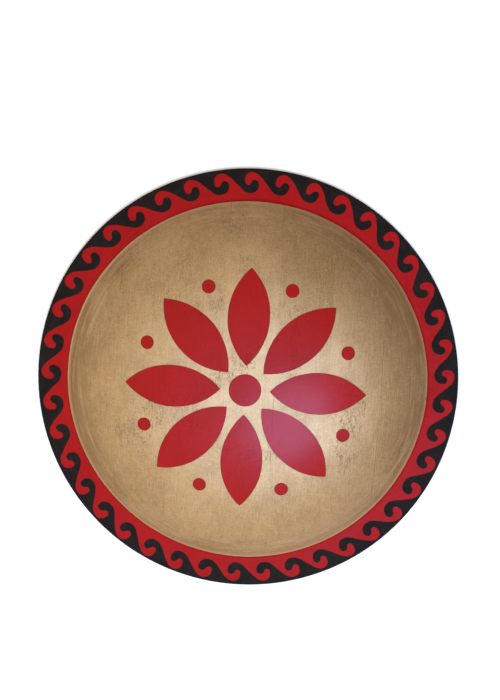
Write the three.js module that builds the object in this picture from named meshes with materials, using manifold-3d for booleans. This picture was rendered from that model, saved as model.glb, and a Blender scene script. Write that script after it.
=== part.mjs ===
// A hoplite's round shield, lying face up on its rim: a wooden bowl with a broad flat rim, and inside
// it a leather arm band and a leather hand grip, held by round-headed nails.
// Millimetres. +Z points out of the painted face, +Y to the top of the painted device, and the origin
// is the middle of the rim's flat back.
import * as THREE from "three";
import { mergeVertices } from "three/addons/utils/BufferGeometryUtils.js";
import Module from "manifold-3d";

const wasm = await Module();
wasm.setup();

// The wooden bowl and its rim
const SHIELD_RADIUS = 450;
const RIM_WIDTH = 66;
const RIM_EDGE_THICKNESS = 12;
const RIM_RISE = 5; // how far the rim's face climbs from its edge to the crease where the bowl starts
const RIM_EDGE_ROUND = 4;
const BOWL_RISE = 115; // from the crease to the crown
const CROWN_SHARE = 0.45; // share of that rise in the crown's even curve; the rest is in the shoulders
const SHOULDER_POWER = 5; // how late and steep the shoulders drop to the crease
const WALL = 10;
const MOUTH_WIDENING = 2; // how much wider the hollow is at the back than the crease on the face
const MOUTH_CHAMFER = 3;
const BOWL_SEGMENTS = 96;
const FACE_STEPS = 13;
const INSIDE_STEPS = 12;

// The arm band, for a forearm that passes along X
const ARM_BAND = {
  place: 0, // X of its middle
  width: 100,
  thickness: 5,
  halfSpan: 58, // half of the loop's width, at the middle of the leather
  reach: 96, // from the wall to the bottom of the loop
  bend: 14, // radius where a foot turns down into the loop
  foot: 46,
};
const ARM_BAND_NAIL_SPACING = 56; // across the band, two nails in each foot

// The hand grip, near the rim
const HAND_GRIP = {
  place: -288,
  width: 34,
  thickness: 5,
  halfSpan: 56,
  reach: 46,
  bend: 12,
  foot: 48,
};
const HAND_GRIP_NAIL_SPACING = 22; // along the strap, two nails in each foot

// The nails
const NAIL_HEAD_RADIUS = 8;
const NAIL_HEAD_HEIGHT = 4;
const NAIL_SHANK_RADIUS = 1.8;
const NAIL_POINT = 2;
const NAIL_BITE = 6.5; // how deep the shank goes into the wood
const NAIL_SEGMENTS = 12;
const NAIL_HOLE_SEGMENTS = 8;

// Room between pieces that touch
const SEAT_GAP = 0.6; // a strap's foot to the wall
const HEAD_GAP = 0.5; // a nail's head to the strap
const SHANK_GAP = 0.5; // a nail's shank to its hole

const CREASE_RADIUS = SHIELD_RADIUS - RIM_WIDTH;
const CREASE_HEIGHT = RIM_EDGE_THICKNESS + RIM_RISE;
const HOLLOW_RADIUS = CREASE_RADIUS + MOUTH_WIDENING;
const HOLLOW_HEIGHT = CREASE_HEIGHT + BOWL_RISE - WALL;

const paintedWood = new THREE.MeshStandardMaterial({ color: 0xb8956a, roughness: 0.45, metalness: 0.6 });
const leather = new THREE.MeshStandardMaterial({ color: 0x5e3820, roughness: 0.65, metalness: 0 });
const brass = new THREE.MeshStandardMaterial({ color: 0xb08a44, roughness: 0.35, metalness: 1 });

// A geometry as a closed solid that can be cut.
function solidFrom(geometry) {
  const bare = geometry.clone();
  bare.deleteAttribute("normal");
  bare.deleteAttribute("uv");
  const merged = mergeVertices(bare, 1e-3);
  return new wasm.Manifold(
    new wasm.Mesh({
      numProp: 3,
      vertProperties: merged.attributes.position.array,
      triVerts: new Uint32Array(merged.index.array),
    }),
  );
}

function geometryFrom(solid) {
  const mesh = solid.getMesh();
  const geometry = new THREE.BufferGeometry();
  geometry.setAttribute("position", new THREE.BufferAttribute(mesh.vertProperties, mesh.numProp));
  geometry.setIndex(new THREE.BufferAttribute(mesh.triVerts, 1));
  geometry.computeVertexNormals();
  return geometry;
}

// A section of (radius, height) points turned round the Z axis.
function turned(section, segments) {
  const points = section.map(([radius, height]) => new THREE.Vector2(radius, height));
  return new THREE.LatheGeometry(points, segments).rotateX(Math.PI / 2);
}

// The bowl's section, from 1 at the crown to 0 at its edge, over the share of the way out.
function bowlCurve(share) {
  return 1 - CROWN_SHARE * share ** 2 - (1 - CROWN_SHARE) * share ** SHOULDER_POWER;
}

function faceHeight(radius) {
  return CREASE_HEIGHT + BOWL_RISE * bowlCurve(radius / CREASE_RADIUS);
}

function hollowHeight(radius) {
  return HOLLOW_HEIGHT * bowlCurve(radius / HOLLOW_RADIUS);
}

function hollowSlope(radius) {
  const share = radius / HOLLOW_RADIUS;
  const crown = 2 * CROWN_SHARE * share;
  const shoulder = SHOULDER_POWER * (1 - CROWN_SHARE) * share ** (SHOULDER_POWER - 1);
  return (-HOLLOW_HEIGHT / HOLLOW_RADIUS) * (crown + shoulder);
}

// Points of a section from the middle to an edge, closer together where the section is steeper.
function sectionTo(edge, steps, heightAt) {
  return Array.from({ length: steps + 1 }, (_, step) => {
    const radius = edge * Math.sin((step / steps) * (Math.PI / 2));
    return [radius, heightAt(radius)];
  });
}

// The bowl's closed section: out along the hollow, round the rim, and back over the face to the crown.
function bowlSection() {
  const hollow = sectionTo(HOLLOW_RADIUS - MOUTH_CHAMFER, INSIDE_STEPS, hollowHeight);
  const face = sectionTo(CREASE_RADIUS, FACE_STEPS, faceHeight);
  const roundCentre = SHIELD_RADIUS - RIM_EDGE_ROUND;
  const rim = new THREE.Path();
  rim.moveTo(HOLLOW_RADIUS + MOUTH_CHAMFER, 0);
  rim.lineTo(roundCentre, 0);
  rim.absarc(roundCentre, RIM_EDGE_ROUND, RIM_EDGE_ROUND, -Math.PI / 2, 0, false);
  rim.absarc(roundCentre, RIM_EDGE_THICKNESS - RIM_EDGE_ROUND, RIM_EDGE_ROUND, 0, Math.PI / 2, false);
  const rimPoints = rim.getPoints(1).map((point) => [point.x, point.y]);
  return [...hollow, ...rimPoints, ...face.reverse()];
}

// Where a strap is fixed: a frame on the hollow's wall, with "out" along the wall's normal, away from
// the hollow, the strap's length along Y and its width down the wall.
function wallFrame(place) {
  const radius = Math.abs(place);
  const origin = new THREE.Vector3(place, 0, hollowHeight(radius));
  const out = new THREE.Vector3(-hollowSlope(radius) * Math.sign(place), 0, 1).normalize();
  const along = new THREE.Vector3(0, 1, 0);
  const across = new THREE.Vector3().crossVectors(along, out);
  return { origin, out, along, across };
}

function pointOnFrame(frame, length, width, height) {
  return frame.origin
    .clone()
    .addScaledVector(frame.along, length)
    .addScaledVector(frame.across, width)
    .addScaledVector(frame.out, height);
}

// Height of the wall over a frame's plane, found by stepping towards it.
function wallHeight(frame, length, width) {
  let height = 0;
  for (let round = 0; round < 8; round += 1) {
    const point = pointOnFrame(frame, length, width, height);
    const above = point.z - hollowHeight(Math.hypot(point.x, point.y));
    height -= above * frame.out.z;
  }
  return height;
}

// Height of a strap's upper side at a foot: under the lowest stretch of wall across the strap.
function seatHeight(frame, strap, length) {
  const wall = [-0.5, 0, 0.5].map((share) => wallHeight(frame, length, share * strap.width));
  return Math.min(...wall) - SEAT_GAP;
}

// The middle of a strap's leather from foot to foot, as (length, height) points over its frame's plane.
// The feet follow the wall, and the loop between them is half an ellipse.
function strapLine(frame, strap) {
  const { halfSpan, reach, bend, foot, thickness } = strap;
  const footStart = halfSpan + bend;
  const line = new THREE.Path();
  line.moveTo(footStart + foot, 0);
  line.lineTo(footStart + foot / 2, 0);
  line.absarc(footStart, -bend, bend, Math.PI / 2, Math.PI, false);
  line.absellipse(0, -bend, halfSpan, reach - bend, 0, Math.PI, true);
  line.absarc(-footStart, -bend, bend, 0, Math.PI / 2, false);
  line.lineTo(-footStart - foot / 2, 0);
  line.lineTo(-footStart - foot, 0);
  const apart = (point, index, all) => index === 0 || point.distanceTo(all[index - 1]) > 1e-3;
  return line
    .getPoints(8)
    .filter(apart)
    .map((point) => {
      const height = point.y + seatHeight(frame, strap, point.x) - thickness / 2;
      return new THREE.Vector2(point.x, height);
    });
}

// A line shifted sideways, to its left, through each of its points.
function besideLine(points, distance) {
  return points.map((point, index) => {
    const before = points[Math.max(index - 1, 0)];
    const after = points[Math.min(index + 1, points.length - 1)];
    const direction = after.clone().sub(before).normalize();
    return new THREE.Vector2(point.x - direction.y * distance, point.y + direction.x * distance);
  });
}

// A leather strap: its side view, as deep as the strap is wide, set on the wall.
function strapGeometry(frame, strap) {
  const line = strapLine(frame, strap);
  const oneSide = besideLine(line, strap.thickness / 2);
  const otherSide = besideLine(line, -strap.thickness / 2).reverse();
  const sideView = new THREE.Shape([...oneSide, ...otherSide]);
  const geometry = new THREE.ExtrudeGeometry(sideView, { depth: strap.width, bevelEnabled: false });
  geometry.translate(0, 0, -strap.width / 2);
  const toWall = new THREE.Matrix4().makeBasis(frame.along, frame.out, frame.across);
  return geometry.applyMatrix4(toWall.setPosition(frame.origin));
}

// The place of a nail in a strap's foot: its origin under the head, its +Z along the shank.
function nailPlace(frame, strap, length, width) {
  const step = 1;
  const rise = seatHeight(frame, strap, length + step) - seatHeight(frame, strap, length - step);
  const shankWay = frame.out.clone().addScaledVector(frame.along, -rise / (2 * step)).normalize();
  const height = seatHeight(frame, strap, length) - strap.thickness - HEAD_GAP;
  const turn = new THREE.Quaternion().setFromUnitVectors(new THREE.Vector3(0, 0, 1), shankWay);
  return { position: pointOnFrame(frame, length, width, height), turn };
}

function shankLength(strap) {
  return HEAD_GAP + strap.thickness + SEAT_GAP + NAIL_BITE;
}

// A round-headed nail, its shank along +Z and its head below.
function nailGeometry(strap) {
  const headSteps = 4;
  const head = Array.from({ length: headSteps + 1 }, (_, step) => {
    const angle = (step / headSteps) * (Math.PI / 2);
    return [NAIL_HEAD_RADIUS * Math.sin(angle), -NAIL_HEAD_HEIGHT * Math.cos(angle)];
  });
  const length = shankLength(strap);
  const shank = [
    [NAIL_SHANK_RADIUS, 0],
    [NAIL_SHANK_RADIUS, length - NAIL_POINT],
    [0, length],
  ];
  return turned([...head, ...shank], NAIL_SEGMENTS);
}

// The hole that a nail leaves in the strap and in the wood.
function nailHole(strap, place) {
  const radius = NAIL_SHANK_RADIUS + SHANK_GAP;
  const end = shankLength(strap) + SHANK_GAP;
  const section = [
    [0, -NAIL_HEAD_HEIGHT],
    [radius, -NAIL_HEAD_HEIGHT],
    [radius, end],
    [0, end],
  ];
  const hole = turned(section, NAIL_HOLE_SEGMENTS);
  hole.applyQuaternion(place.turn);
  hole.translate(...place.position);
  return solidFrom(hole);
}

function pierced(geometry, holes) {
  return geometryFrom(holes.reduce((solid, hole) => solid.subtract(hole), solidFrom(geometry)));
}

function namedMesh(name, geometry, material) {
  const mesh = new THREE.Mesh(geometry, material);
  mesh.name = name;
  return mesh;
}

// A strap and its nails as one group, and the holes that the nails make.
function fixedStrap(name, strap, nailSpots) {
  const frame = wallFrame(strap.place);
  const places = nailSpots.map(([length, width]) => nailPlace(frame, strap, length, width));
  const holes = places.map((place) => nailHole(strap, place));
  const group = new THREE.Group();
  group.add(namedMesh(name, pierced(strapGeometry(frame, strap), holes), leather));
  places.forEach((place, index) => {
    const nail = namedMesh(`${name}_nail_${index + 1}`, nailGeometry(strap), brass);
    nail.position.copy(place.position);
    nail.quaternion.copy(place.turn);
    group.add(nail);
  });
  return { group, holes };
}

function footMiddle(strap) {
  return strap.halfSpan + strap.bend + strap.foot / 2;
}

const bandNailSpots = [-1, 1].flatMap((end) =>
  [-1, 1].map((side) => [end * footMiddle(ARM_BAND), (side * ARM_BAND_NAIL_SPACING) / 2]),
);
const gripNailSpots = [-1, 1].flatMap((end) =>
  [-1, 1].map((side) => [end * (footMiddle(HAND_GRIP) + (side * HAND_GRIP_NAIL_SPACING) / 2), 0]),
);
const armBand = fixedStrap("arm_band", ARM_BAND, bandNailSpots);
const handGrip = fixedStrap("hand_grip", HAND_GRIP, gripNailSpots);
const bowlHoles = [...armBand.holes, ...handGrip.holes];

const shield = new THREE.Group();
shield.add(namedMesh("shield_bowl", pierced(turned(bowlSection(), BOWL_SEGMENTS), bowlHoles), paintedWood));
shield.add(armBand.group);
shield.add(handGrip.group);

export default shield;
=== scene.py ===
import math
import bmesh
import bpy
from mathutils import Matrix, Vector


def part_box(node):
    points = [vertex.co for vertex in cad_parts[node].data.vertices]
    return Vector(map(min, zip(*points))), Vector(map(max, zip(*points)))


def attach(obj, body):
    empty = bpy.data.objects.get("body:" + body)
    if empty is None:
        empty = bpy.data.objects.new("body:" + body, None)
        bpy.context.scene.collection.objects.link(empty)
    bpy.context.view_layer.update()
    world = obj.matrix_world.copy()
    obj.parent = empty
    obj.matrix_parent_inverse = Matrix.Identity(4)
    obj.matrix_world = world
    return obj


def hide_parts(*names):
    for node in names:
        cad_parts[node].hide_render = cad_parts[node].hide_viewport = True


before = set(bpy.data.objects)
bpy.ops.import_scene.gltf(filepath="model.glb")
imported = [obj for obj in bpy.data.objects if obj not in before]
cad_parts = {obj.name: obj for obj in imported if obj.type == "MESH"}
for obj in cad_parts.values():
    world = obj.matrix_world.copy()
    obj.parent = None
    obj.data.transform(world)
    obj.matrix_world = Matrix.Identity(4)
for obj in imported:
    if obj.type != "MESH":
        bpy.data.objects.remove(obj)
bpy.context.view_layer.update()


# The shield's body: planks glued edge to edge and turned to a thin domed bowl with a broad flat rim.
# Its section is drawn once, with its corners rounded, and spun round the upright axis.
SHIELD_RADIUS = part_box("shield_bowl")[1][0]
CROWN_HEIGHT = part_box("shield_bowl")[1][2]
RIM_WIDTH = 0.066
RIM_EDGE_THICKNESS = 0.012
CREASE_HEIGHT = 0.017
CREASE_RADIUS = SHIELD_RADIUS - RIM_WIDTH
WALL = 0.010
HOLLOW_RADIUS = CREASE_RADIUS + 0.002
HOLLOW_HEIGHT = CROWN_HEIGHT - WALL
CROWN_SHARE = 0.45
SHOULDER_POWER = 5
CORNER_ROOM = 0.006  # left free between a curved line and the corner that is rounded beside it
TURNS_ROUND = 256


def bowl_curve(share):
    """The bowl's section, from 1 at the crown to 0 at its edge, over the share of the way out."""
    return 1 - CROWN_SHARE * share**2 - (1 - CROWN_SHARE) * share**SHOULDER_POWER


def face_height(radius):
    return CREASE_HEIGHT + (CROWN_HEIGHT - CREASE_HEIGHT) * bowl_curve(radius / CREASE_RADIUS)


def hollow_height(radius):
    return HOLLOW_HEIGHT * bowl_curve(radius / HOLLOW_RADIUS)


def even_steps(first, last, count):
    return [first + (last - first) * step / count for step in range(count + 1)]


def finished(name, mesh, *materials):
    """A bmesh as a smooth-shaded object at the origin, with its materials."""
    data = bpy.data.meshes.new(name)
    mesh.to_mesh(data)
    mesh.free()
    for material in materials:
        data.materials.append(material)
    data.shade_smooth()
    piece = bpy.data.objects.new(name, data)
    bpy.context.scene.collection.objects.link(piece)
    return piece


def chain(mesh, points):
    """Adds a chain of edges through some points and returns its vertices."""
    corners = [mesh.verts.new(point) for point in points]
    for start, end in zip(corners, corners[1:]):
        mesh.edges.new((start, end))
    return corners


def spun(section, steps):
    """Turns a bmesh's chain of edges once round the Z axis, closed at the axis."""
    bmesh.ops.spin(
        section, geom=section.verts[:] + section.edges[:], cent=(0, 0, 0), axis=(0, 0, 1),
        angle=math.tau, steps=steps, use_merge=True,
    )
    bmesh.ops.remove_doubles(section, verts=section.verts[:], dist=1e-6)
    bmesh.ops.recalc_face_normals(section, faces=section.faces[:])


hollow_line = [(r, 0, hollow_height(r)) for r in even_steps(0, HOLLOW_RADIUS - CORNER_ROOM, 40)]
face_line = [(r, 0, face_height(r)) for r in even_steps(CREASE_RADIUS - CORNER_ROOM, 0, 64)]
rim_corners = [
    (HOLLOW_RADIUS, 0, 0),
    (SHIELD_RADIUS, 0, 0),
    (SHIELD_RADIUS, 0, RIM_EDGE_THICKNESS),
    (CREASE_RADIUS, 0, CREASE_HEIGHT),
]
rim_rounds = [0.005, 0.003, 0.004, 0.005]

bowl_mesh = bmesh.new()
section_line = chain(bowl_mesh, hollow_line + rim_corners + face_line)
for corner, corner_round in zip(section_line[len(hollow_line):], rim_rounds):
    bmesh.ops.bevel(
        bowl_mesh, geom=[corner], offset=corner_round, offset_type="OFFSET", segments=6,
        profile=0.5, affect="VERTICES", material=-1,
    )
spun(bowl_mesh, TURNS_ROUND)
for bowl_face in bowl_mesh.faces:
    middle = bowl_face.calc_center_median()
    under_rim = middle.z < 0.001
    in_hollow = bowl_face.normal.z < -0.2 and middle.xy.length < CREASE_RADIUS + 0.02
    bowl_face.material_index = int(under_rim or in_hollow)


class Wire:
    """One output in a node tree. Sums with it add Math nodes."""

    def __init__(self, tree, socket):
        self.tree = tree
        self.socket = socket

    def node(self, kind, settings=None, inputs=None, output=0):
        """Adds a node, gives it its settings, then values or links, and returns one output."""
        made = self.tree.nodes.new(kind)
        for name, value in (settings or {}).items():
            setattr(made, name, value)
        for key, value in (inputs or {}).items():
            if isinstance(value, Wire):
                self.tree.links.new(value.socket, made.inputs[key])
            else:
                made.inputs[key].default_value = value
        return Wire(self.tree, made.outputs[output])

    def math(self, operation, *others):
        """A Math node with this as its first value."""
        return self.node("ShaderNodeMath", {"operation": operation}, dict(enumerate((self, *others))))

    def __add__(self, other):
        return self.math("ADD", other)

    def __sub__(self, other):
        return self.math("SUBTRACT", other)

    def __rsub__(self, other):
        return self.node("ShaderNodeMath", {"operation": "SUBTRACT"}, {0: other, 1: self})

    def __mul__(self, other):
        return self.math("MULTIPLY", other)

    def __truediv__(self, other):
        return self.math("DIVIDE", other)

    __radd__ = __add__
    __rmul__ = __mul__

    def least(self, other):
        return self.math("MINIMUM", other)

    def most(self, other):
        return self.math("MAXIMUM", other)

    def over(self, other):
        """1 where this is greater, else 0."""
        return self.math("GREATER_THAN", other)

    def size(self):
        return self.math("ABSOLUTE")

    def cosine(self):
        return self.math("COSINE")

    def length(self, other):
        """The length of a line with these two sides."""
        return (self * self + other * other).math("SQRT")

    def step(self, low, high):
        """0 below low, 1 above high, and a smooth rise between."""
        inputs = {"Value": self, "From Min": low, "From Max": high}
        return self.node("ShaderNodeMapRange", {"interpolation_type": "SMOOTHSTEP"}, inputs)

    def choose(self, where_off, where_on):
        """One number where this is 0 and another where it is 1."""
        return where_off + (where_on - where_off) * self

    def tint(self, where_off, where_on):
        """One colour where this is 0 and another where it is 1."""
        inputs = {0: self, 6: where_off, 7: where_on}
        return self.node("ShaderNodeMix", {"data_type": "RGBA"}, inputs, 2)

    def vector(self, operation, other, output=0):
        """A Vector Math node with this as its first vector."""
        return self.node("ShaderNodeVectorMath", {"operation": operation}, {0: self, 1: other}, output)

    def shifted(self, other):
        return self.vector("ADD", other)

    def stretched(self, x, y, z):
        return self.vector("MULTIPLY", (x, y, z))

    def along(self, way):
        """How far this vector reaches along a way of length 1."""
        return self.vector("DOT_PRODUCT", way, 1)

    def noise(self, blotch, detail=3.0, roughness=0.5, distortion=0.0):
        """Cloudy noise from 0 to 1 with blotches of about this size."""
        inputs = {
            "Vector": self, "Scale": 1 / blotch, "Detail": detail, "Roughness": roughness,
            "Distortion": distortion,
        }
        return self.node("ShaderNodeTexNoise", {"normalize": True}, inputs)


def new_finish(name, shininess=0.5):
    """A material, its Principled shader, and a wire with the place on the shield in millimetres."""
    material = bpy.data.materials.new(name)
    material.use_nodes = True
    tree = material.node_tree
    shader = tree.nodes["Principled BSDF"]
    shader.inputs["Specular IOR Level"].default_value = shininess
    coordinates = tree.nodes.new("ShaderNodeTexCoord")
    place = Wire(tree, coordinates.outputs["Object"]).stretched(1000, 1000, 1000)
    return material, shader, place


def feed(shader, **wires):
    """Links wires to the shader's inputs, with _ for a space in their names."""
    for name, wire in wires.items():
        wire.tree.links.new(wire.socket, shader.inputs[name.replace("_", " ")])


def raised(height, depth_mm, strength):
    """A normal from a height of 0 to 1 that stands for this depth."""
    inputs = {"Strength": strength, "Distance": depth_mm / 1000, "Height": height}
    return height.node("ShaderNodeBump", None, inputs)


# The face's paint: satin gold over the bowl with a red rosette, a red ring on the rim with a running
# wave of red and black outside it, and a black edge. All of it is brushed on by hand over the planks,
# and the rosette has a thin coat of varnish. Lengths in it are in millimetres.
GOLD = (0.475, 0.312, 0.150, 1)
# darker gold, for wear and for painted shade
GOLD_WORN_AND_SHADE = (0.305, 0.184, 0.076, 1)
GOLD_PALE = (0.575, 0.412, 0.224, 1)
# dirt, and painted shade at one shoulder
GOLD_DIRT_AND_SHADE = (0.11, 0.060, 0.027, 1)
# pale flecks, and a painted highlight in the middle
GOLD_FLECK_AND_HIGHLIGHT = (0.80, 0.68, 0.50, 1)
RED = (0.322, 0.0012, 0.0016, 1)
RED_DARK = (0.272, 0.0006, 0.0007, 1)
RED_EDGE = (0.13, 0.0010, 0.0010, 1)
BLACK = (0.0052, 0.0030, 0.0023, 1)
BLACK_GREY = (0.0128, 0.0080, 0.0060, 1)
PAINT_SHININESS = 0.115
VARNISH_WEIGHT = 0.105
VARNISH_ROUGHNESS = 0.21

RING_RADIUS = 382.8
WAVES = 41
WAVE_FOOT = 400  # radius of the level that the waves stand on
WAVE_PITCH = math.tau * 420 / WAVES
WAVE_START = -18  # where along its pitch a wave begins, counted from its crest
WAVE_TURN = -0.198  # shares of a wave: how far the border is turned, and how its spacing drifts
WAVE_DRIFT = {"right": 0.031, "top": -0.120, "slant": 0.060}
WAVE_SWINGS = [(4, -0.80, 1.3), (5, 0.91, 0.6)]  # times round, turn and reach of each swing
RING_SWINGS = [(2, 0.82, 0.9), (3, -2.24, 0.75)]

PETALS = 8
PETAL_START = 50  # radii of a petal's two points
PETAL_END = 248
PETAL_HALF_WIDTH = 43
HUB_RADIUS = 33
DOT_PLACE = 222
DOT_RADIUS = 14

PLANK_WIDTH = 110
PLANK_SHIFT = 51
WEAR_PLACE = (900, -300, 0)  # where in the noise the worn patches are taken from


def swung(around, swings):
    """How far a line that is painted round the rim strays in or out."""
    return sum((around * times + turn).cosine() * reach for times, turn, reach in swings)


def wave_mask(along, up):
    """1 in the black of the running wave and 0 in its red.

    along runs clockwise from a crest and up is the height over the waves' foot. Each red wave climbs
    to a crest, curls back over a round black hollow and ends in a round tip. Its long side falls in an
    S to the next hollow. The arcs are circles of the sizes below.
    """
    crest, hook_level, hook = 42.5, 27.15, 15.35
    tip_along, tip_level, tip_round = -8.85, 22.5, 6.5
    bulb_along, bulb_level, bulb_round = 6, 18.5, 8.35
    hollow_along, hollow_level, hollow_round = -2.4, 16.2, 16.75
    fall_length = 57.5
    lowest = hollow_level - hollow_round
    far_below = -100
    soft_edge = 0.45

    def fall(way):
        turn = way.most(0).least(fall_length) * (math.pi / fall_length)
        return turn.cosine() * ((crest - lowest) / 2) + (crest + lowest) / 2

    side = along.over(0)
    below_fall = up - fall(along)
    outside_hook = along.length((up - hook_level).most(0)) - hook
    outside_bulb = (along - bulb_along).length((up - bulb_level).most(0)) - bulb_round
    upper = side.choose(outside_hook, below_fall).most(0 - outside_bulb)

    outside_tip = (along - tip_along).length((up - tip_level).least(0)) - tip_round
    outside_hollow = (along - hollow_along).length((up - hollow_level).least(0)) - hollow_round
    above_last_fall = up - fall(along + WAVE_PITCH)
    in_hollow = along.over(hollow_along).choose(above_last_fall, 0 - outside_hollow)
    lower = in_hollow.least(outside_tip).most(side.choose(far_below, below_fall))

    split = along.over(bulb_along - bulb_round).choose(tip_level, bulb_level)
    return up.over(split).choose(lower, upper).step(-soft_edge, soft_edge)


def rosette_distance(radius, around):
    """How far a place lies outside the rosette: petals between two arcs, a hub, and a dot in each gap."""
    sector = math.tau / PETALS
    sectors = around / sector
    off_axis = (sectors - sectors.math("ROUND")) * sector
    outward = radius * off_axis.cosine()
    sideways = radius * off_axis.math("SINE").size()
    half_length = (PETAL_END - PETAL_START) / 2
    arc_radius = (half_length**2 + PETAL_HALF_WIDTH**2) / (2 * PETAL_HALF_WIDTH)
    petal_middle = PETAL_START + half_length
    off_petal = (outward - petal_middle).length(sideways + arc_radius - PETAL_HALF_WIDTH) - arc_radius
    dot_out, dot_aside = DOT_PLACE * math.cos(sector / 2), DOT_PLACE * math.sin(sector / 2)
    off_dot = (outward - dot_out).length(sideways - dot_aside) - DOT_RADIUS
    return off_petal.least(off_dot).least(radius - HUB_RADIUS)


def plank_number_and_side(x):
    """The plank's number, and how far from its middle a place is: 0.5 at the joints."""
    across = (x + PLANK_SHIFT) / PLANK_WIDTH
    return across.math("FLOOR"), (across.math("FRACT") - 0.5).size()


def face_paint():
    material, shader, place = new_finish("face_paint", PAINT_SHININESS)
    shader.inputs["Coat Roughness"].default_value = VARNISH_ROUGHNESS
    x = place.along((1, 0, 0))
    y = place.along((0, 1, 0))
    radius = x.length(y)
    around = y.math("ARCTAN2", x)
    right, top = x / radius, y / radius

    # The hand's slow drift and quick tremor along every painted edge
    drift = place.noise(70, 1) - 0.5
    drift_across = place.noise(55, 1, 0.4, 0.8) - 0.5
    tremor = place.noise(9, 2) - 0.5

    drifted = right * WAVE_DRIFT["right"] + top * WAVE_DRIFT["top"] + right * top * WAVE_DRIFT["slant"]
    turned = around * (-WAVES / math.tau) + WAVE_TURN + drifted + drift * 0.12
    along = turned.math("FRACT") * WAVE_PITCH + WAVE_START + tremor * 1.4
    up = radius - WAVE_FOOT + swung(around, WAVE_SWINGS) + drift_across * 1.6 + tremor * 1.5
    black = wave_mask(along, up)
    ring_place = radius - swung(around, RING_SWINGS) + drift * 1.2 + tremor * 0.9 - RING_RADIUS
    ring = ring_place.step(-0.5, 0.5)
    ring_edge = ring * ring_place.step(3.7, 0.7)
    # A paler line of gold just inside the ring
    pale_line_by_ring = ring_place.step(-9.0, -2.3)
    off_rosette = rosette_distance(radius, around) + tremor * 0.9 + drift * 1.6
    rosette = 1 - off_rosette.step(-0.4, 0.4)
    red = ring.most(rosette)
    brush_edge = (rosette * off_rosette.step(-2.4, -0.4)).most(ring_edge)

    # Brush strokes: upright over the bowl, round and round beside the ring
    upright = place.stretched(1, 0.045, 0.2).noise(2.2, 4, 0.6)
    level = place.stretched(0.05, 1, 0.3).noise(3.0, 4, 0.6)
    spoke = place.node("ShaderNodeCombineXYZ", None, {0: right * 24, 1: top * 24, 2: radius})
    rounds = spoke.noise(6.0, 4, 0.7, 0.3)
    near_ring = (radius + drift * 40).step(322, 358)
    strokes = near_ring.choose(upright * 0.75 + level * 0.25, rounds)

    # Wear: brown clouds, a leathery crackle, pits and scuffs. The broad tones are painted light: a painted
    # highlight makes the middle paler, and painted shade makes both sides and one shoulder browner. The
    # broad tones, paler in the middle and browner at both sides and at one shoulder, follow the
    # photograph, where some may be its light
    wear = place.shifted(WEAR_PLACE)
    clouds = wear.noise(95, 6, 0.62)
    blotches = wear.stretched(1, 0.6, 1).noise(26, 6, 0.68, 0.6)
    crackle = place.noise(7.5, 5, 0.7, 1.4)
    grain = place.noise(5.5, 6, 0.85, 1.2)
    fine_grain = place.stretched(1, 0.75, 1).noise(2.8, 3, 0.7, 0.6)
    speckled = wear.stretched(1, 0.8, 1).noise(75, 3, 0.6).step(0.44, 0.66) * y.step(-250, -110)
    scratches = place.stretched(1, 0.35, 0.6).noise(3.6, 3, 0.6, 2.0)
    pits = (scratches + speckled * 0.17).step(0.69, 0.79)
    flecks = place.stretched(0.6, 1, 1).noise(5.0, 3, 0.6, 1.5).step(0.68, 0.76)
    worn = (clouds * 0.42 + blotches * 0.26 + crackle * 0.32).step(0.38, 0.66)
    # Dark round brush strokes beside the ring, heavier at the left and right, where they are also painted
    # shade
    stroke_and_side_shade_weight = right * right * 0.37 + 0.18
    brushed_dark_and_side_shade = near_ring * rounds.step(0.58, 0.40) * clouds.step(0.36, 0.62) * stroke_and_side_shade_weight
    # A painted highlight makes the middle paler
    painted_middle_highlight = radius.step(330, 60) * 0.12
    # Painted shade makes both sides browner
    painted_side_shade = radius.step(255, 365) * (right * right * 0.38 + right * top * 0.34 - 0.06)
    # Painted shade makes the upper right shoulder browner
    painted_shoulder_shade = radius.step(180, 280) * (right + top - 1).most(0) * 0.45

    # Planks under the paint, with joints that show here and there as hairlines
    plank_number, off_middle = plank_number_and_side(x)
    joint_shows = place.stretched(1, 0.5, 1).noise(60, 2).step(0.5, 0.62)
    # Each plank's gold is a little lighter or darker here and there, a painted sheen for the planks'
    # slightly different tilt, fading out towards the bottom
    plank_sheen_shows = place.stretched(0.4, 1, 1).noise(150, 2).step(0.38, 0.60) * y.step(-230, -40)
    plank_shade = (plank_number * 2.6 - 2.4).cosine() * plank_sheen_shows
    joint = off_middle.step(0.491, 0.4985) * joint_shows

    grains = grain.step(0.40, 0.64) * 0.4 + fine_grain.step(0.42, 0.66) * 0.4
    # Darker gold from wear, grain and brush strokes, and from painted shade and the planks' painted sheen
    darkened = worn * 0.55 + grains + brushed_dark_and_side_shade + painted_side_shade + plank_shade * 0.17
    # Dirt in the pits and joints, and painted shade at the shoulder
    dirt_and_shade = pits * 0.55 + joint * 0.4 + painted_shoulder_shade
    gold_tone = darkened.most(0).least(1).tint(GOLD, GOLD_WORN_AND_SHADE)
    gold_tone = (strokes.step(0.45, 0.75) * 0.55).most(pale_line_by_ring * 0.6).tint(gold_tone, GOLD_PALE)
    gold_tone = dirt_and_shade.least(0.8).tint(gold_tone, GOLD_DIRT_AND_SHADE)
    # Pale flecks, and a painted highlight that makes the middle paler
    gold_tone = (flecks * 0.45).most(painted_middle_highlight).tint(gold_tone, GOLD_FLECK_AND_HIGHLIGHT)
    red_tone = (clouds * 0.5 + strokes * 0.5).step(0.35, 0.65).tint(RED_DARK, RED)
    red_tone = (brush_edge * 0.6).tint(red_tone, RED_EDGE)
    black_tone = (blotches * 0.6 + strokes * 0.4).step(0.4, 0.68).tint(BLACK, BLACK_GREY)
    rim_tone = (black * ring).tint(red_tone, black_tone)
    colour = red.tint(gold_tone, rim_tone)

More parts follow.
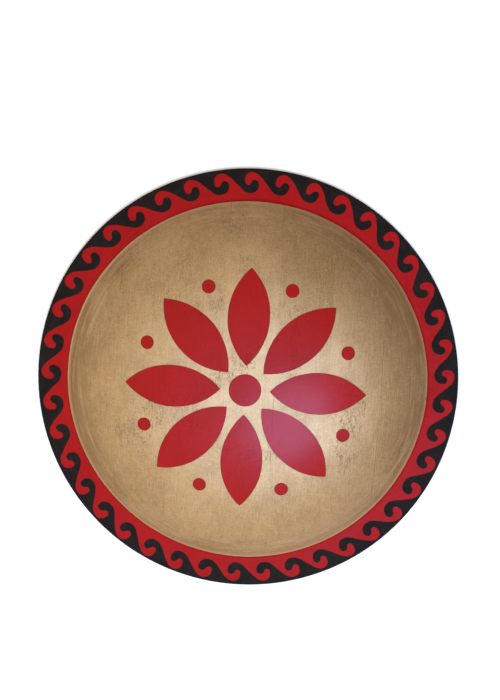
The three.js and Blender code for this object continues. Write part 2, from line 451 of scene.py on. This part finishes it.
    gold_roughness = strokes * 0.20 + worn * 0.10 + 0.38
    paint_roughness = strokes * 0.22 + crackle * 0.12 + ring * 0.12 + black * ring * 0.20 + 0.17
    weathering = crackle * 0.6 + grain * 0.4 + blotches * 0.5 + fine_grain * 0.35
    relief = weathering + strokes * 0.3 + red * 0.25 - joint * 0.4 - pits * 0.4
    feed(
        shader, Base_Color=colour, Metallic=(1 - red) * 0.75, Coat_Weight=rosette * VARNISH_WEIGHT,
        Roughness=red.choose(gold_roughness, paint_roughness), Normal=raised(relief, 0.95, 0.8),
    )
    return material


# The back's wood: the same planks seen bare in the hollow and under the rim, with their grain upright.
# They are stained brown and waxed, with a dark line at each joint and faint rounds from the turning.
WOOD_LIGHT = (0.26, 0.140, 0.064, 1)
WOOD_DARK = (0.105, 0.046, 0.018, 1)
JOINT_DARK = (0.02, 0.009, 0.004, 1)


def stained_planks():
    material, shader, place = new_finish("stained_planks", 0.4)
    x = place.along((1, 0, 0))
    y = place.along((0, 1, 0))
    number, off_middle = plank_number_and_side(x)
    plank_shade = number.node("ShaderNodeTexWhiteNoise", {"noise_dimensions": "1D"}, {"W": number})
    own_place = number.node("ShaderNodeCombineXYZ", None, {1: number * 731, 2: number * 57})
    in_timber = place.shifted(own_place)
    rings = (in_timber.stretched(1, 0.022, 0.22).noise(15, 2, 0.5, 0.5) * 8).math("PINGPONG", 1)
    fibres = in_timber.stretched(1, 0.02, 0.3).noise(1.6, 4, 0.65)
    clouds = place.noise(120, 4)
    joint = off_middle.step(0.492, 0.4985)
    tool_marks = (x.length(y) * 1.1).math("SINE") * 0.5 + 0.5

    shade = rings * 0.28 + fibres * 0.45 + plank_shade * 0.32 + clouds * 0.3
    colour = shade.step(0.35, 1.05).tint(WOOD_DARK, WOOD_LIGHT)
    colour = (joint * 0.8).tint(colour, JOINT_DARK)
    relief = fibres * 0.45 + rings * 0.2 + tool_marks * 0.25 - joint
    feed(
        shader, Base_Color=colour, Roughness=fibres * 0.25 + clouds * 0.15 + 0.35,
        Normal=raised(relief, 0.4, 0.6),
    )
    return material


bowl = finished("shield_body", bowl_mesh, face_paint(), stained_planks())
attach(bowl, "root")
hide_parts("shield_bowl")


# The arm band: a broad strap of thick brown leather, nailed to the middle of the hollow at both ends.
# It is bent to a stiff loop that the forearm goes through, and a line is pressed in along each edge.
ARM_BAND = {
    "place": 0, "width": 0.100, "thickness": 0.005, "half_span": 0.058, "reach": 0.096,
    "bend": 0.014, "foot": 0.046,
}
SEAT_GAP = 0.0006
STRAP_EDGE_ROUND = 0.0016
PRESSED_LINE_INSET = 6  # millimetres from the strap's edge
LEATHER = (0.095, 0.032, 0.012, 1)
LEATHER_DARK = (0.032, 0.010, 0.004, 1)
LEATHER_WORN = (0.185, 0.076, 0.031, 1)


def wall_frame(place):
    """A frame on the hollow's wall: X down the wall, Y along the strap, Z into the wood."""
    radius = abs(place)
    share = radius / HOLLOW_RADIUS
    bend = 2 * CROWN_SHARE * share + SHOULDER_POWER * (1 - CROWN_SHARE) * share ** (SHOULDER_POWER - 1)
    lean = math.copysign(math.atan(HOLLOW_HEIGHT / HOLLOW_RADIUS * bend), place)
    return Matrix.Translation((place, 0, hollow_height(radius))) @ Matrix.Rotation(lean, 4, "Y")


def wall_height(on_wall, across, along):
    """Height of the wall over a frame's plane, found by stepping towards it."""
    height = 0
    for _ in range(8):
        point = on_wall @ Vector((across, along, height))
        height -= (point.z - hollow_height(point.xy.length)) * on_wall[2][2]
    return height


def seat_height(on_wall, strap, along):
    """Height of a strap's upper side: under the lowest stretch of wall across the strap."""
    sides = (-strap["width"] / 2, 0, strap["width"] / 2)
    return min(wall_height(on_wall, across, along) for across in sides) - SEAT_GAP


def strap_line(strap, steps=12):
    """(along, height) points of a strap with flat feet, a bend at each and half an ellipse between."""
    span, bend, foot = strap["half_span"], strap["bend"], strap["foot"]
    bottom = strap["reach"] - bend
    turns = even_steps(0, math.pi / 2, steps)
    half = [(span + bend + length, 0) for length in even_steps(foot, foot / steps, steps - 1)]
    half += [(span + bend - bend * math.sin(turn), bend * math.cos(turn) - bend) for turn in turns]
    half += [(span * math.cos(turn), -bend - bottom * math.sin(turn)) for turn in turns[1:]]
    return half + [(-along, height) for along, height in reversed(half[:-1])]


def leather(name, on_wall, half_width):
    material, shader, place = new_finish(name, 0.4)
    strap_middle = on_wall.translation * 1000
    off_middle = place.shifted(-strap_middle).along(on_wall.to_3x3().col[0]).size()
    pressed = 1 - (off_middle - (half_width - PRESSED_LINE_INSET)).size().step(0.3, 1.1)
    edge = off_middle.step(half_width - 3, half_width)

    clouds = place.noise(45, 5, 0.6)
    folds = place.stretched(1, 0.35, 0.35).noise(9, 4, 0.6, 1.0)
    pores = place.node("ShaderNodeTexVoronoi", None, {"Vector": place, "Scale": 0.55})
    scuffs = place.stretched(1, 0.3, 0.3).noise(5, 5, 0.7).step(0.56, 0.68)
    colour = (clouds * 0.6 + folds * 0.4).step(0.36, 0.64).tint(LEATHER_DARK, LEATHER)
    colour = (scuffs * 0.45 + edge * 0.3).least(1).tint(colour, LEATHER_WORN)
    colour = (pressed * 0.7).tint(colour, LEATHER_DARK)
    relief = folds * 0.6 + pores * 0.25 - pressed * 0.8
    feed(
        shader, Base_Color=colour, Roughness=folds * 0.2 + scuffs * 0.2 + 0.38,
        Normal=raised(relief, 0.5, 0.7),
    )
    return material


def strap_piece(name, strap):
    """A strap on the wall: its line drawn out sideways to a ribbon, thickened and rounded at its edges."""
    on_wall = wall_frame(strap["place"])
    half_width = strap["width"] / 2
    line = [
        (-half_width, along, height + seat_height(on_wall, strap, along) - strap["thickness"] / 2)
        for along, height in strap_line(strap)
    ]
    ribbon = bmesh.new()
    chain(ribbon, line)
    drawn = bmesh.ops.extrude_edge_only(ribbon, edges=ribbon.edges[:])["geom"]
    far_side = [part for part in drawn if isinstance(part, bmesh.types.BMVert)]
    bmesh.ops.translate(ribbon, verts=far_side, vec=(strap["width"], 0, 0))
    bmesh.ops.recalc_face_normals(ribbon, faces=ribbon.faces[:])
    bmesh.ops.transform(ribbon, matrix=on_wall, verts=ribbon.verts[:])
    piece = finished(name, ribbon, leather(name + "_leather", on_wall, half_width * 1000))
    thickness = piece.modifiers.new("thickness", "SOLIDIFY")
    thickness.thickness = strap["thickness"]
    thickness.offset = 0
    thickness.use_even_offset = True
    edges = piece.modifiers.new("edges", "BEVEL")
    edges.width = STRAP_EDGE_ROUND
    edges.segments = 3
    edges.limit_method = "ANGLE"
    edges.angle_limit = math.radians(40)
    return piece


arm_band = strap_piece("arm_band_strap", ARM_BAND)
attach(arm_band, "root")
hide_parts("arm_band")


# The hand grip: a narrower strap of the same leather near the rim, that the hand closes round.
# Its feet follow the steeper wall there, and two nails hold each of them.
HAND_GRIP = {
    "place": -0.288, "width": 0.034, "thickness": 0.005, "half_span": 0.056, "reach": 0.046,
    "bend": 0.012, "foot": 0.048,
}
hand_grip = strap_piece("hand_grip_strap", HAND_GRIP)
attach(hand_grip, "root")
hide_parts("hand_grip")


# The nails: round-headed brass, driven through the straps' feet into the wood and dulled with age.
# Two sit across each foot of the arm band, and two one after the other in each foot of the hand grip.
HEAD_RADIUS = 0.008
HEAD_HEIGHT = 0.004
HEAD_GAP = 0.0005
SHANK_RADIUS = 0.0018
POINT_LENGTH = 0.002
BITE = 0.0065
BAND_NAIL_SPACING = 0.056
GRIP_NAIL_SPACING = 0.022
BRASS = (0.60, 0.40, 0.14, 1)
BRASS_DULL = (0.16, 0.090, 0.035, 1)


def aged_brass():
    material, shader, place = new_finish("aged_brass")
    shader.inputs["Metallic"].default_value = 1
    tarnish = place.noise(6, 5, 0.65).step(0.38, 0.66)
    dents = place.node("ShaderNodeTexVoronoi", {"feature": "SMOOTH_F1"}, {"Vector": place, "Scale": 0.35})
    feed(
        shader, Base_Color=tarnish.tint(BRASS, BRASS_DULL), Roughness=tarnish * 0.3 + 0.28,
        Normal=raised(dents, 0.5, 0.5),
    )
    return material


def foot_middle(strap):
    return strap["half_span"] + strap["bend"] + strap["foot"] / 2


def nail_piece(name, strap, across, along, material):
    """A nail through a strap's foot, square to the leather there."""
    on_wall = wall_frame(strap["place"])
    step = 0.001
    rise = seat_height(on_wall, strap, along + step) - seat_height(on_wall, strap, along - step)
    shank_way = Vector((0, -rise / (2 * step), 1)).normalized()
    turn = Vector((0, 0, 1)).rotation_difference(shank_way).to_matrix().to_4x4()
    height = seat_height(on_wall, strap, along) - strap["thickness"] - HEAD_GAP
    length = HEAD_GAP + strap["thickness"] + SEAT_GAP + BITE
    dome = [
        (HEAD_RADIUS * math.sin(angle), 0, -HEAD_HEIGHT * math.cos(angle))
        for angle in even_steps(0, math.pi / 2, 10)
    ]
    shank = [(SHANK_RADIUS, 0, 0), (SHANK_RADIUS, 0, length - POINT_LENGTH), (0, 0, length)]
    body = bmesh.new()
    chain(body, dome + shank)
    spun(body, 32)
    place = on_wall @ Matrix.Translation((across, along, height)) @ turn
    bmesh.ops.transform(body, matrix=place, verts=body.verts[:])
    piece = finished(name, body, material)
    piece.data.set_sharp_from_angle(angle=math.radians(50))
    return piece


brass = aged_brass()
for number, (end, side) in enumerate([(-1, -1), (-1, 1), (1, -1), (1, 1)], 1):
    band_across = side * BAND_NAIL_SPACING / 2
    band_along = end * foot_middle(ARM_BAND)
    grip_along = end * (foot_middle(HAND_GRIP) + side * GRIP_NAIL_SPACING / 2)
    band_nail = nail_piece(f"arm_band_nail_head_{number}", ARM_BAND, band_across, band_along, brass)
    grip_nail = nail_piece(f"hand_grip_nail_head_{number}", HAND_GRIP, 0, grip_along, brass)
    for nail, node in ((band_nail, f"arm_band_nail_{number}"), (grip_nail, f"hand_grip_nail_{number}")):
        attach(nail, "root")
        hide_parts(node)


# The floor: a plain pale sheet that the shield lies on, face up.
# It is matt, and so wide that its edge lies far off in every view.
FLOOR_HALF = 30.0
FLOOR_COLOUR = (0.95, 0.95, 0.95, 1)
floor_mesh = bmesh.new()
bmesh.ops.create_grid(floor_mesh, x_segments=1, y_segments=1, size=FLOOR_HALF)
floor_material, floor_shader, _ = new_finish("pale_floor", 0.2)
floor_shader.inputs["Base Color"].default_value = FLOOR_COLOUR
floor_shader.inputs["Roughness"].default_value = 0.9
floor = finished("floor", floor_mesh, floor_material)


# The light: one cool window almost overhead, towards the lower right, and a warm room round about that
# is brighter towards the lower left. Colours are shown as they are lit, with no film look over them.
WINDOW_PLACE = Vector((0.61, -0.91, 3.0))
WINDOW_COLOUR = (0.32, 0.52, 1.0)
ROOM_BRIGHT_WAY = (-0.29, -0.35, 0.89)
ROOM_DIM = (0.27, 0.17, 0.10, 1)
ROOM_BRIGHT = (1.42, 1.32, 1.15, 1)

window_data = bpy.data.lights.new("window", "AREA")
window_data.shape = "ELLIPSE"
window_data.size = 1.35
window_data.size_y = 1.15
window_data.energy = 93
window_data.color = WINDOW_COLOUR
window = bpy.data.objects.new("window", window_data)
bpy.context.scene.collection.objects.link(window)
window.location = WINDOW_PLACE
window.rotation_euler = (-WINDOW_PLACE).to_track_quat("-Z", "Y").to_euler()

room = bpy.data.worlds.new("room")
room.use_nodes = True
room_nodes = room.node_tree.nodes
way = Wire(room.node_tree, room_nodes.new("ShaderNodeTexCoord").outputs["Generated"])
room_colour = way.along(ROOM_BRIGHT_WAY).step(-0.2, 1.0).tint(ROOM_DIM, ROOM_BRIGHT)
feed(room_nodes["Background"], Color=room_colour)
bpy.context.scene.world = room
bpy.context.scene.view_settings.view_transform = "Standard"


# The camera, as in the photograph: almost over the shield, leaning a little to its upper side.
# Its lens and shift put the rim's centre and width on the photograph's pixels.
VIEW_DISTANCE = 2.3
VIEW_LEAN = math.radians(8.17)
VIEW_ROLL = math.radians(3.0)
LEAN_WAY = math.radians(76.9) + VIEW_ROLL
PIXELS_PER_METRE = 467.5
FRAME_WIDTH, FRAME_HEIGHT = 500, 700
RIM_CENTRE_PIXEL = (246.9, 382.3)

toward_camera = Vector((
    math.sin(VIEW_LEAN) * math.cos(LEAN_WAY),
    math.sin(VIEW_LEAN) * math.sin(LEAN_WAY),
    math.cos(VIEW_LEAN),
))
camera_data = bpy.data.cameras.new("camera")
camera_data.sensor_fit = "VERTICAL"
camera_data.sensor_height = 36
camera_data.lens = camera_data.sensor_height * PIXELS_PER_METRE * VIEW_DISTANCE / FRAME_HEIGHT
camera_data.shift_x = (FRAME_WIDTH / 2 - RIM_CENTRE_PIXEL[0]) / FRAME_HEIGHT
camera_data.shift_y = (RIM_CENTRE_PIXEL[1] - FRAME_HEIGHT / 2) / FRAME_HEIGHT
camera = bpy.data.objects.new("camera", camera_data)
bpy.context.scene.collection.objects.link(camera)
photo_up = Vector((-math.sin(VIEW_ROLL), math.cos(VIEW_ROLL), 0))
image_right = photo_up.cross(toward_camera).normalized()
image_up = toward_camera.cross(image_right)
camera_turn = Matrix((image_right, image_up, toward_camera)).transposed()
rim_centre = Vector((0, 0, RIM_EDGE_THICKNESS))
camera.matrix_world = Matrix.Translation(rim_centre + toward_camera * VIEW_DISTANCE) @ camera_turn.to_4x4()
bpy.context.scene.camera = camera
